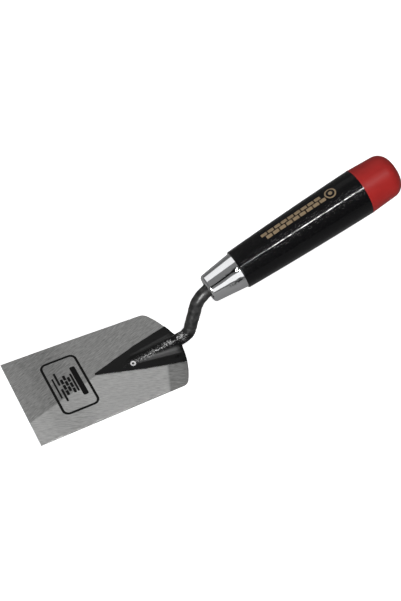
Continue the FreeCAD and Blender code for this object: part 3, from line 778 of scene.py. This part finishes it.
polish = use_group(tree, streaks, Vector=up_the_handle(tree, place), Length=0.012, Width=0.0006)
plating = blend_colours(tree, polish.outputs["Broad"], *PLATING)
blotches = use_group(tree, uneven, Vector=place, Size=0.0013)
# The stored weight picks where the chrome is painted dark grey, a painted reflection.
dark_reflection = calc(tree, "MULTIPLY", soft_step(tree, blotches.outputs["Grains"], *DARK_REFLECTION_GRAINS),
             stored(tree, "dark_reflection_weight"))
paint(tree, shader, blend_colours(tree, dark_reflection, plating, grey(DARK_REFLECTION_GREY)),
      polish.outputs["Fine"], smoothest=0.05, spread=0.07)
bump_into(tree, shader, polish.outputs["Fine"], strength=0.10, distance=0.00003)
print("chrome plating:", len(tree.nodes), "nodes")

# %% Make the ferrule
FERRULE_FRONT_RADIUS, FERRULE_REAR_RADIUS = 10.05, 13.05
RIM_ROUND, WALL, HOLE_RADIUS = 2.6, 0.9, 5.3
LIP_ANGLE, LIP_WIDTH, LIP_LENGTH, LIP_BACK, LIP_OUT = 33.0, 1.8, 1.0, 0.9, 1.15
PLAIN_RIM = 1.5
# Each punch mark: its place along and around, its depth, and its two widths. A place of
# painted dark reflection has no depth.
PUNCHES = [((SHOULDER - 2.0, LIP_ANGLE), 0.40, (0.9, 1.0)),
           ((SHOULDER - 4.0, LIP_ANGLE), 0.12, (3.0, 1.7)),
           ((SHOULDER - 3.0, 52.0), 0.45, (8.0, 3.8)),
           ((SHOULDER - 3.4, 66.0), 0.16, (2.0, 1.3)),
           ((SHOULDER - 8.8, 68.0), 0.14, (3.0, 1.4)),
           ((SHOULDER - 2.2, 190.0), 0.60, (1.3, 1.3))]
DARK_REFLECTION_PLACES = [((SHOULDER - 3.2, 68.0), (3.2, 1.3)), ((SHOULDER - 9.0, 69.0), (3.0, 1.1)),
                ((SHOULDER - 2.8, 31.0), (2.6, 1.5)), ((SHOULDER - 10.0, 32.0), (3.4, 0.9))]
cone = (FERRULE_REAR_RADIUS - FERRULE_FRONT_RADIUS) / (SHOULDER - FERRULE_START)
tilt = math.degrees(math.atan(cone))
rim_middle = (FERRULE_START + RIM_ROUND, FERRULE_FRONT_RADIUS + cone * RIM_ROUND
              - RIM_ROUND / math.cos(math.radians(tilt)))
rim = arc(rim_middle, RIM_ROUND, 180, 90 + tilt, 14)
inner_front = FERRULE_START + WALL
profile = np.vstack([
    run((FERRULE_START, HOLE_RADIUS), rim[0], 6),
    rim,
    run(rim[-1], (SHOULDER, FERRULE_REAR_RADIUS), 74)[1:],
    run((SHOULDER, FERRULE_REAR_RADIUS), (SHOULDER, FERRULE_REAR_RADIUS - WALL), 3),
    run((SHOULDER, FERRULE_REAR_RADIUS - WALL),
        (inner_front, FERRULE_FRONT_RADIUS + cone * WALL - WALL), 24),
    run((inner_front, FERRULE_FRONT_RADIUS + cone * WALL - WALL), (inner_front, HOLE_RADIUS), 6),
    run((inner_front, HOLE_RADIUS), (FERRULE_START, HOLE_RADIUS), 3),
])
place_along, place_radius = profile[:, :1], profile[:, 1:]
dent = sum(depth * bump_at(place_along, turn_angle, FERRULE_REAR_RADIUS, spot, widths)
           for spot, depth, widths in PUNCHES)
lip = bump_at(SHOULDER, turn_angle, FERRULE_REAR_RADIUS, (SHOULDER, LIP_ANGLE),
              (LIP_WIDTH, LIP_WIDTH)) * ramp(place_along, SHOULDER - LIP_LENGTH, SHOULDER)
dented = place_radius - np.where(place_radius > HOLE_RADIUS + PLAIN_RIM, dent, 0)
rings = on_axis(place_along + LIP_BACK * lip, dented + LIP_OUT * lip, turn_angle)
# Where the painted dark reflection lies, beside the dents.
dark_reflection_weight = sum(bump_at(place_along, turn_angle, FERRULE_REAR_RADIUS, spot, widths)
            for spot, widths in DARK_REFLECTION_PLACES)
make_piece("ferrule_cup", [closed_surface(rings)], chrome, sharp=50,
           replaced=["ferrule"], weights={"dark_reflection_weight": np.clip(dark_reflection_weight, 0, 1).ravel()})

# %% [markdown]
# ## The lacquered handle
#
# The handle is turned hardwood under thick black lacquer. The lacquer bridges most pores but
# sinks into the open ones, so a highlight along it breaks into sparkles. The pores are long and
# thin, and follow the grain along the handle. They are the stretched lines again, cut off so
# that only the deepest ones dent the surface.

# %% Black lacquer on open-pored wood
LACQUER = ((0.0010, 0.0010, 0.0015, 1), (0.0020, 0.0019, 0.0020, 1))
OPEN_PORES = (0.53, 0.66)
black_wood, tree, shader, place = new_material("black_lacquered_wood", Specular_IOR_Level=0.34)
grain_way = up_the_handle(tree, place)
pores = use_group(tree, streaks, Vector=grain_way, Length=0.0017, Width=0.00060)
skin = use_group(tree, uneven, Vector=grain_way, Size=0.0024)
open_pore = soft_step(tree, pores.outputs["Fine"], *OPEN_PORES)
paint(tree, shader, blend_colours(tree, open_pore, *LACQUER), open_pore,
      smoothest=0.055, spread=0.05)
height = calc(tree, "MULTIPLY_ADD", skin.outputs["Waves"], 0.10, open_pore)
bump_into(tree, shader, height, strength=0.36, distance=0.00010)
print("black lacquer:", len(tree.nodes), "nodes")

# %% Make the handle
HANDLE_FRONT_RADIUS, HANDLE_FULL_RADIUS = 14.05, 16.9
SHOULDER_ROUND, SWELL, COAT = 0.8, 0.38, 0.6
# The spigot sits inside the ferrule, and the shoulder's face leans by a hair.
SPIGOT_LENGTH, SPIGOT_TAPER, SPIGOT_GAP, FACE_LEAN = 8, 1.0, 0.05, 0.02
CORE_LENGTH, CORE_RADIUS = 20, 14.8


def grip_radius(along):
    """A straight taper between the two ends with a slight outward bulge between them."""
    share = (along - SHOULDER) / (CAP_START - SHOULDER)
    straight = HANDLE_FRONT_RADIUS + (HANDLE_FULL_RADIUS - HANDLE_FRONT_RADIUS) * share
    return straight + 4 * SWELL * share * (1 - share)


grip_start = SHOULDER + SHOULDER_ROUND
grip_along = np.linspace(grip_start, CAP_START, 150)
shoulder_arc = arc((grip_start, float(grip_radius(grip_start)) - SHOULDER_ROUND),
                   SHOULDER_ROUND, 180, 90, 7)
spigot_radius = FERRULE_REAR_RADIUS - WALL - SPIGOT_GAP
spigot_end = (SHOULDER - FACE_LEAN, spigot_radius)
profile = np.vstack([
    run((SHOULDER - SPIGOT_LENGTH, spigot_radius - SPIGOT_TAPER), spigot_end, 5),
    run(spigot_end, shoulder_arc[0], 4),
    shoulder_arc,
    np.stack([grip_along, grip_radius(grip_along)], axis=-1),
    run((CAP_START, HANDLE_FULL_RADIUS - COAT), (CAP_START + CORE_LENGTH, CORE_RADIUS), 6),
])
rings = on_axis(profile[:, :1], profile[:, 1:], turn_angle)
poles = [on_axis(at, 0.0, 0.0) for at in (profile[0, 0], profile[-1, 0])]
make_piece("handle_grip", [closed_surface(rings, poles)], black_wood,
           replaced=["handle"])

# %% [markdown]
# ## The dipped end
#
# The end of the handle is dipped in thick red paint. It dries to a satin skin with a soft
# orange-peel texture, and leaves a fine raised bead where the dip stopped. It could be a second
# colour on the handle, but the coat has thickness, so it is its own closed cup of paint.

# %% Red dip
DIP_REDS = ((0.34, 0.016, 0.015, 1), (0.42, 0.021, 0.018, 1))
red_dip, tree, shader, place = new_material("red_dip", Specular_IOR_Level=0.3)
skin = use_group(tree, uneven, Vector=place, Size=0.0016)
paint(tree, shader, blend_colours(tree, skin.outputs["Waves"], *DIP_REDS),
      skin.outputs["Grains"], smoothest=0.34, spread=0.12)
height = calc(tree, "MULTIPLY_ADD", skin.outputs["Waves"], 1.5, skin.outputs["Grains"])
bump_into(tree, shader, height, strength=0.25, distance=0.00012)
print("red dip:", len(tree.nodes), "nodes")

# %% Make the dipped end
CAP_REAR_RADIUS, CAP_CORNER, CAP_DOME = 15.5, 9.0, 34.0
POLE_GAP = 1.0
BEAD_HEIGHT, BEAD_MIDDLE, BEAD_WIDTH = 0.10, 0.5, 0.45


def cap_profile(depth):
    """Tapering side, rounded corner and shallow dome, at a depth under the surface."""
    dome = CAP_DOME - depth
    dome_middle = np.array([HANDLE_END - CAP_DOME, 0.0])
    side_start = np.array([CAP_START, HANDLE_FULL_RADIUS - depth])
    side_end = np.array([dome_middle[0] + math.sqrt(CAP_DOME ** 2 - CAP_REAR_RADIUS ** 2),
                         CAP_REAR_RADIUS - depth])
    side = (side_end - side_start) / np.linalg.norm(side_end - side_start)
    inward = np.array([side[1], -side[0]])
    corner = CAP_CORNER - depth
    corner_middle = corner_centre(side_start, side, inward, corner, dome_middle, dome)
    away = corner_middle - dome_middle
    touch = math.degrees(math.atan2(away[1], away[0]))
    side_touch = corner_middle - inward * corner
    side_angle = math.degrees(math.atan2(-inward[1], -inward[0]))
    return np.vstack([
        run(side_start, side_touch, 40),
        arc(corner_middle, corner, side_angle, touch, 24),
        arc(dome_middle, dome, touch, POLE_GAP, 26),
    ])


outer, inner = cap_profile(0.0), cap_profile(COAT)
bead = np.exp(-((outer[:, 0] - CAP_START - BEAD_MIDDLE) / BEAD_WIDTH) ** 2)
outer[:, 1] += BEAD_HEIGHT * bead
profile = np.vstack([inner[::-1], run(inner[0], outer[0], 3)[1:], outer])
rings = on_axis(profile[:, :1], profile[:, 1:], turn_angle)
poles = [on_axis(HANDLE_END - COAT, 0.0, 0.0), on_axis(HANDLE_END, 0.0, 0.0)]
make_piece("dipped_end", [closed_surface(rings, poles)], red_dip,
           replaced=["end_cap"])

# %% [markdown]
# ## Printed and stamped marks
#
# A tool like this carries a black printed label on the blade, a stamp on the foot and a gold
# band on the handle. Here they are plain shapes of the same size and place: a framed panel of
# brickwork and bars, a ring, and two courses of bricks with a round mark. Each is a thin film
# just above its surface, so the shape stays sharp from close by.

# %% Ink, stamp and gold finishes
def worn_film(name, size, dark, pale, smoothest, step=None, **constants):
    """Two tones and a roughness that follow fine grains, as on a film that is a little worn."""
    material, tree, shader, place = new_material(name, **constants)
    grains = use_group(tree, uneven, Vector=place, Size=size).outputs["Grains"]
    share = soft_step(tree, grains, *step) if step else grains
    paint(tree, shader, blend_colours(tree, share, dark, pale), grains, smoothest, spread=0.2)
    print(f"{name}: {len(tree.nodes)} nodes")
    return material


ink = worn_film("black_ink", 0.0005, grey(0.004), grey(0.02), 0.35, step=(0.55, 0.75),
                Specular_IOR_Level=0.15)
# The stamp's pale grey is partly bare stamped metal and partly a painted highlight.
stamp_and_highlight = worn_film("stamped_metal_and_highlight", 0.0004, grey(0.60), grey(0.95), 0.25)
gold = worn_film("gold_print", 0.0007, (0.26, 0.19, 0.115, 1), (0.42, 0.31, 0.19, 1), 0.30,
                 metallic=0.35)

# %% Thin films: a bar and a closed ribbon, laid on any surface
FILM, FILM_ROOT = 0.03, 0.03


def rounded_box(middle, half_x, half_y, corner, count=10):
    """An anticlockwise rounded rectangle."""
    mid = np.asarray(middle, float)
    reach_x, reach_y = half_x - corner, half_y - corner
    corners = [(reach_x, reach_y, 0), (-reach_x, reach_y, 90),
               (-reach_x, -reach_y, 180), (reach_x, -reach_y, 270)]
    return np.vstack([
        np.vstack([arc(mid + (dx, dy), corner, turn, turn + 90, count),
                   [mid + (dx, dy) + corner * heading(turn + 90)]])
        for dx, dy, turn in corners])


def film_bar(loop, lay):
    """A filled shape: the loop on top, shrunk to a pole, and the same underneath."""
    middle = loop.mean(axis=0)
    grow = np.array([0.35, 0.7, 1.0])[:, None, None]
    rings = middle + (loop - middle) * grow
    top, low = lay(rings, FILM), lay(rings, -FILM_ROOT)
    poles = [lay(middle[None], FILM)[0], lay(middle[None], -FILM_ROOT)[0]]
    return closed_surface(np.concatenate([top, low[::-1]]), poles)


def film_ribbon(loop, width, lay):
    """A closed line of even width: a flat band along the loop, with a top and an underside."""
    normal = outward(loop) * width / 2
    shifts = np.array([-1.0, -0.33, 0.33, 1.0])[:, None, None]
    band = loop + normal * shifts
    return closed_surface(np.concatenate([lay(band, FILM), lay(band[::-1], -FILM_ROOT)]))


def on_plate(flat, lift):
    """Two numbers in the plate's plane, raised to the plate's top."""
    return np.concatenate([flat, (plate_top(flat[..., 0]) + lift)[..., None]], axis=-1)


def on_foot(flat, lift):
    """Two numbers in the plate's plane, raised to the foot's top."""
    height = plate_top(flat[..., 0]) + foot_height(flat[..., 0], flat[..., 1]) + lift
    return np.concatenate([flat, height[..., None]], axis=-1)


def on_grip(flat, lift):
    """First number: distance along the axis. Second: arc distance from the top, near side +."""
    radius = grip_radius(flat[..., 0])
    return on_axis(flat[..., 0], radius + lift, flat[..., 1] / radius)


# %% The label printed on the blade
LABEL = (-23.6, 0.5)
LABEL_HALF_X, LABEL_HALF_Y, LABEL_CORNER, LABEL_LINE = 12.4, 22.6, 4.0, 1.7
marks = [film_ribbon(rounded_box(LABEL, LABEL_HALF_X, LABEL_HALF_Y, LABEL_CORNER),
                     LABEL_LINE, on_plate)]
# Bars run across the blade, as lines of print do: two offsets from the label's middle, then
# half the length and half the height. A small brick wall sits in the middle.
BARS = [(7.0, 0.0, 13.0, 1.9), (3.7, 0.0, 8.0, 0.7), (-6.2, 7.2, 5.6, 0.75),
        (-6.2, -7.2, 5.6, 0.75), (-8.9, 0.0, 9.0, 0.6)]
WALL_START, COURSE, PITCH, WALL_BRICK = (-3.7, -1.25), 2.5, 5.0, (0.95, 2.1)
BAR_CORNER, SMALL_CORNER = 0.6, 0.3
for dx, dy, half_length, half_height in BARS:
    loop = rounded_box((LABEL[0] + dx, LABEL[1] + dy), half_height, half_length,
                       half_height * BAR_CORNER, 4)
    marks.append(film_bar(loop, on_plate))
for row in range(3):
    for brick in (-1, 0, 1):
        middle = (LABEL[0] + WALL_START[0] + COURSE * row,
                  LABEL[1] + WALL_START[1] + PITCH * (brick + 0.5 * (row % 2)))
        marks.append(film_bar(rounded_box(middle, *WALL_BRICK, SMALL_CORNER, 3), on_plate))
make_piece("blade_label", marks, ink)

# %% The ring stamped on the foot
STAMP, STAMP_RADIUS, STAMP_LINE = (22.0, -3.4), 1.45, 1.05
loop = arc(STAMP, STAMP_RADIUS, 0, 360, 40)
make_piece("foot_stamp", [film_ribbon(loop, STAMP_LINE, on_foot)], stamp_and_highlight)

# %% The gold band on the handle
BAND_START, BAND_SIDE, BAND_BRICKS = SHOULDER + 24.0, -0.3, 9
BRICK, BRICK_HALF, JOINT, ROW_JOINT, ROW_SHIFT = 4.5, 1.3, 0.85, 0.8, 2.4
ROSETTE, ROSETTE_RING, ROSETTE_LINE, ROSETTE_DOT = (SHOULDER + 78.5, BAND_SIDE), 3.6, 1.0, 1.5
marks = []
for row in range(2):
    for brick in range(BAND_BRICKS):
        middle = (BAND_START + BRICK / 2 + (BRICK + JOINT) * brick + row * ROW_SHIFT,
                  BAND_SIDE + (row - 0.5) * (2 * BRICK_HALF + ROW_JOINT))
        marks.append(film_bar(rounded_box(middle, BRICK / 2, BRICK_HALF, SMALL_CORNER, 4),
                              on_grip))
marks.append(film_ribbon(arc(ROSETTE, ROSETTE_RING, 0, 360, 48), ROSETTE_LINE, on_grip))
marks.append(film_bar(arc(ROSETTE, ROSETTE_DOT, 0, 360, 24), on_grip))
make_piece("handle_gold_band", marks, gold)

# %% [markdown]
# ## Floor and light
#
# The tool lies on a plain white sheet under soft lamps. Chrome and lacquer only look right when
# they have something to mirror, so there are five soft boxes: a wide one overhead and behind, a
# low one in front, a narrow strip that draws the long highlight on the handle, a low one at the
# side, and a dim one behind the blade. The floor is white to the camera and a dark grey to
# everything else, as grey studio paper under a bright cut-out background would be.

# %% Floor
def panel(name, corners, material):
    """A flat sheet with four corners, for the stage."""
    mesh = bpy.data.meshes.new(name)
    mesh.from_pydata(corners, [], [(0, 1, 2, 3)])
    mesh.materials.append(material)
    return in_scene(name, mesh)


FLOOR_HALF, FLOOR_DROP = 2.5, 0.00015
WHITE_LEVEL, WHITE_GLOW = 0.85, 0.82
QUIET_LEVEL, QUIET_GLOW = 0.30, 0.05
corners = np.array([(-1, -1, 0), (1, -1, 0), (1, 1, 0), (-1, 1, 0)], float) * FLOOR_HALF
corners[:, 2] = -FLOOR_DROP
paper, tree, shader, _ = new_material("white_paper", Roughness=0.9, Specular_IOR_Level=0.0)
shader.inputs["Base Color"].default_value = grey(WHITE_LEVEL)
shader.inputs["Emission Color"].default_value = grey(1.0)
shader.inputs["Emission Strength"].default_value = WHITE_GLOW
quiet = add(tree, "ShaderNodeBsdfPrincipled", {
    "Base Color": grey(QUIET_LEVEL), "Roughness": 0.9, "Specular IOR Level": 0.0,
    "Emission Color": grey(1.0), "Emission Strength": QUIET_GLOW})
light_path = tree.nodes.new("ShaderNodeLightPath")
choose = add(tree, "ShaderNodeMixShader", {
    0: light_path.outputs["Is Camera Ray"], 1: quiet.outputs[0], 2: shader.outputs[0]})
output = next(n for n in tree.nodes if n.type == "OUTPUT_MATERIAL")
tree.links.new(choose.outputs[0], output.inputs["Surface"])
floor = panel("floor", corners, paper)
print("floor:", 2 * FLOOR_HALF, "m across")

# %% Surroundings: white to the camera, dark grey in reflections
WALL_GLOW, WALL_RISE = 0.14, 0.09
world = bpy.data.worlds.new("studio")
bpy.context.scene.world = world
world.use_nodes = True
tree = world.node_tree
background = next(n for n in tree.nodes if n.type == "BACKGROUND")
light_path = tree.nodes.new("ShaderNodeLightPath")
height = add(tree, "ShaderNodeSeparateXYZ", {
    0: tree.nodes.new("ShaderNodeTexCoord").outputs["Generated"]}).outputs[2]
walls = calc(tree, "MULTIPLY_ADD", height, WALL_RISE, WALL_GLOW)
surround = add(tree, "ShaderNodeMix", {
    0: light_path.outputs["Is Camera Ray"], 2: walls, 3: 1.0})
tree.links.new(surround.outputs[0], background.inputs["Strength"])
background.inputs["Color"].default_value = grey(1.0)
print(f"surroundings: {WALL_GLOW - WALL_RISE:.2f} below, {WALL_GLOW + WALL_RISE:.2f} above")


# %% Soft boxes
def look_from(azimuth, elevation):
    """The unit vector from the tool towards a place at two angles."""
    a, e = math.radians(azimuth), math.radians(elevation)
    return Vector((math.cos(a) * math.cos(e), math.sin(a) * math.cos(e), math.sin(e)))


def facing(away, long_side):
    """A turn whose Z points away from the tool and whose X lies along long_side."""
    along = (long_side - away * long_side.dot(away)).normalized()
    return Matrix((along, away.cross(along), away)).transposed().to_4x4()


def soft_box(name, aim, away, distance, long_side, length, width, radiance):
    """A flat lamp facing a point on the tool, with the brightness that a mirror would show."""
    lamp = bpy.data.lights.new(name, "AREA")
    lamp.shape, lamp.size, lamp.size_y = "RECTANGLE", length, width
    lamp.energy = radiance * math.pi * length * width
    holder = in_scene(name, lamp)
    holder.matrix_world = Matrix.Translation(aim * MM + away * distance) @ facing(away, long_side)
    print(f"{name}: {length} x {width} m, {lamp.energy:.1f} W")


handle_way = Vector((AXIS[0], 0, AXIS[1]))
upright = Vector((0, 0, 1))
corner_point = Vector((CORNER[0], 0, CORNER[1]))
ferrule_middle = corner_point + handle_way * 20
grip_middle = corner_point + handle_way * 80
# The first two lamps fill the gap between two directions that the ferrule mirrors.
over_low, over_high = look_from(100, 17), look_from(153, 58)
over_way = (over_low * 0.95 + over_high * 1.05 - handle_way * 0.16).normalized()
front_low, front_high = look_from(259, 6), look_from(248, 30)
front_way = (front_low + front_high - handle_way * 0.10).normalized()
# Name, aim, direction, distance, long side, length, width and brightness.
LAMPS = [
    ("overhead_box", ferrule_middle, over_way, 1.2, over_low - over_high, 1.10, 0.42, 0.84),
    ("front_box", ferrule_middle, front_way, 1.2, front_low - front_high, 0.52, 0.44, 0.95),
    ("strip_box", grip_middle, look_from(250.9, 58.2), 1.0, handle_way, 0.36, 0.055, 70.0),
    ("side_box", corner_point, look_from(222, 12), 1.2, upright, 0.30, 0.40, 26.0),
    ("back_box", Vector((0, 0, 0)), look_from(66, 50), 1.4, upright, 0.62, 0.62, 0.27),
]
for lamp in LAMPS:
    soft_box(*lamp)

# %% A black card near the strip, for the dark streak down the chrome
CARD_WAY, CARD_DISTANCE, CARD_HALF = look_from(234, 46), 0.95, (0.24, 0.09)
card_place = ferrule_middle * MM + CARD_WAY * CARD_DISTANCE
turn = np.array(facing(CARD_WAY, handle_way).to_3x3())
corners = np.array([(-1, -1), (1, -1), (1, 1), (-1, 1)]) * CARD_HALF
felt, _, shader, _ = new_material("black_felt", Roughness=1.0)
shader.inputs["Base Color"].default_value = grey(0.01)
card = panel("black_card", np.array(card_place) + corners @ turn[:, :2].T, felt)
card.visible_camera = False
print("black card:", 2 * CARD_HALF[0], "x", 2 * CARD_HALF[1], "m")
